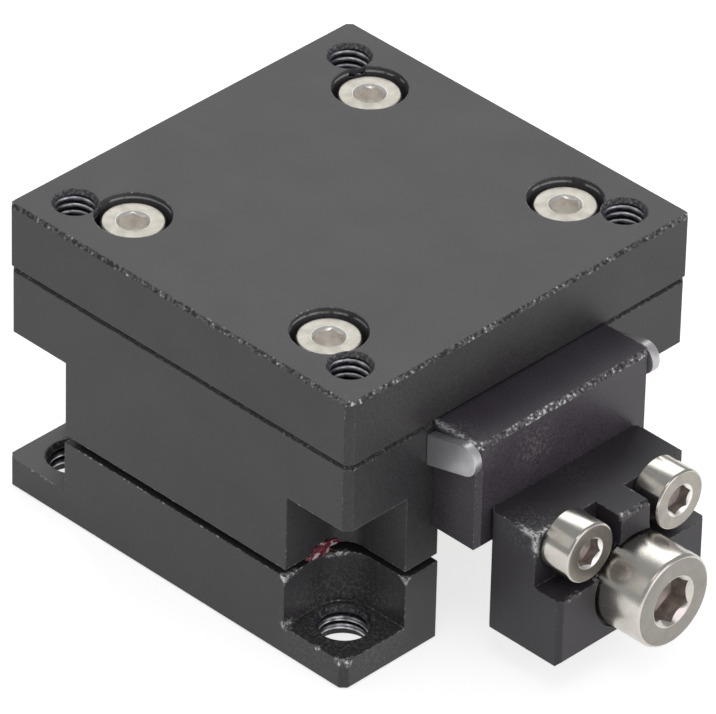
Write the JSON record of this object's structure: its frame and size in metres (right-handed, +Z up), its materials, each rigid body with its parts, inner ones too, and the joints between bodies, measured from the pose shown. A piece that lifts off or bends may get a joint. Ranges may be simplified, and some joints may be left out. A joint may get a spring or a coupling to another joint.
{
  "type": "linear translation stage",
  "caption": "Compact square linear translation stage: a black table and carriage slide over a flanged base on crossed rollers, driven by a hex-socket feed screw at one end.",
  "frame": {"origin": "centre of the base's square footprint, on its underside", "axes": "+X along the travel towards the drive end, +Z up from the base to the table, +Y across"},
  "size_m": [0.0577, 0.04, 0.0288],
  "materials": {
    "base_block": "black anodised, semi-gloss",
    "base_rail_left": "hardened and ground",
    "base_rail_right": "hardened and ground",
    "base_rail_screws": "stainless steel, bright",
    "rail_end_stops": "stainless steel, bright",
    "feed_nut": "turned bronze",
    "nut_screws": "stainless steel, bright",
    "stop_pin": "stainless steel, bright",
    "cage_left": "rolled strip",
    "rollers_left": "ground and lapped",
    "cage_right": "rolled strip",
    "rollers_right": "ground and lapped",
    "carriage_block": "black anodised, semi-gloss",
    "carriage_rail_left": "hardened and ground",
    "carriage_rail_right": "hardened and ground",
    "carriage_rail_screws": "stainless steel, bright",
    "preload_screws": "stainless steel, bright",
    "table_plate": "black anodised, semi-gloss",
    "table_screws": "stainless steel, bright",
    "drive_bracket": "black anodised, semi-gloss",
    "bracket_screws": "stainless steel, bright",
    "keeper_clip": "stainless steel, bright",
    "screw_block": "black anodised, semi-gloss",
    "block_screws": "stainless steel, bright",
    "feed_screw": "stainless steel, bright",
    "thrust_washer": "stainless steel, bright",
    "retaining_ring": "stainless steel, bright"
  },
  "bodies": {
    "base": {"base_block": "base_block", "base_rail_left": "base_rail_left", "base_rail_right": "base_rail_right", "base_rail_screws": "base_rail_screws", "rail_end_stops": "rail_end_stops", "feed_nut": "feed_nut", "nut_screws": "nut_screws", "stop_pin": "stop_pin"},
    "carriage": {"carriage_block": "carriage_block", "carriage_rail_left": "carriage_rail_left", "carriage_rail_right": "carriage_rail_right", "carriage_rail_screws": "carriage_rail_screws", "preload_screws": "preload_screws", "table_plate": "table_plate", "table_screws": "table_screws", "drive_bracket": "drive_bracket", "bracket_screws": "bracket_screws", "keeper_clip": "keeper_clip", "screw_block": "screw_block", "block_screws": "block_screws"},
    "cage_left_body": {"cage_left": "cage_left", "rollers_left": "rollers_left"},
    "cage_right_body": {"cage_right": "cage_right", "rollers_right": "rollers_right"},
    "feed_screw_body": {"feed_screw": "feed_screw", "thrust_washer": "thrust_washer", "retaining_ring": "retaining_ring"}
  },
  "joints": [
    {"name": "stage_slide", "type": "slide", "parent": "base", "child": "carriage", "axis": [1, 0, 0], "range_m": [-0.005, 0.005]},
    {"name": "cage_left_slide", "type": "slide", "parent": "base", "child": "cage_left_body", "axis": [1, 0, 0], "range_m": [-0.0025, 0.0025]},
    {"name": "cage_right_slide", "type": "slide", "parent": "base", "child": "cage_right_body", "axis": [1, 0, 0], "range_m": [-0.0025, 0.0025]},
    {"name": "feed_screw_turn", "type": "hinge", "parent": "carriage", "child": "feed_screw_body", "pos_m": [0.03, 0, 0.00865], "axis": [1, 0, 0], "range_deg": [-2250, 2250]}
  ],
  "couplings": [
    {"joint": "feed_screw_turn", "follows": "stage_slide", "rad_per_m": 7854},
    {"joint": "cage_left_slide", "follows": "stage_slide", "ratio": 0.5},
    {"joint": "cage_right_slide", "follows": "stage_slide", "ratio": 0.5}
  ]
}
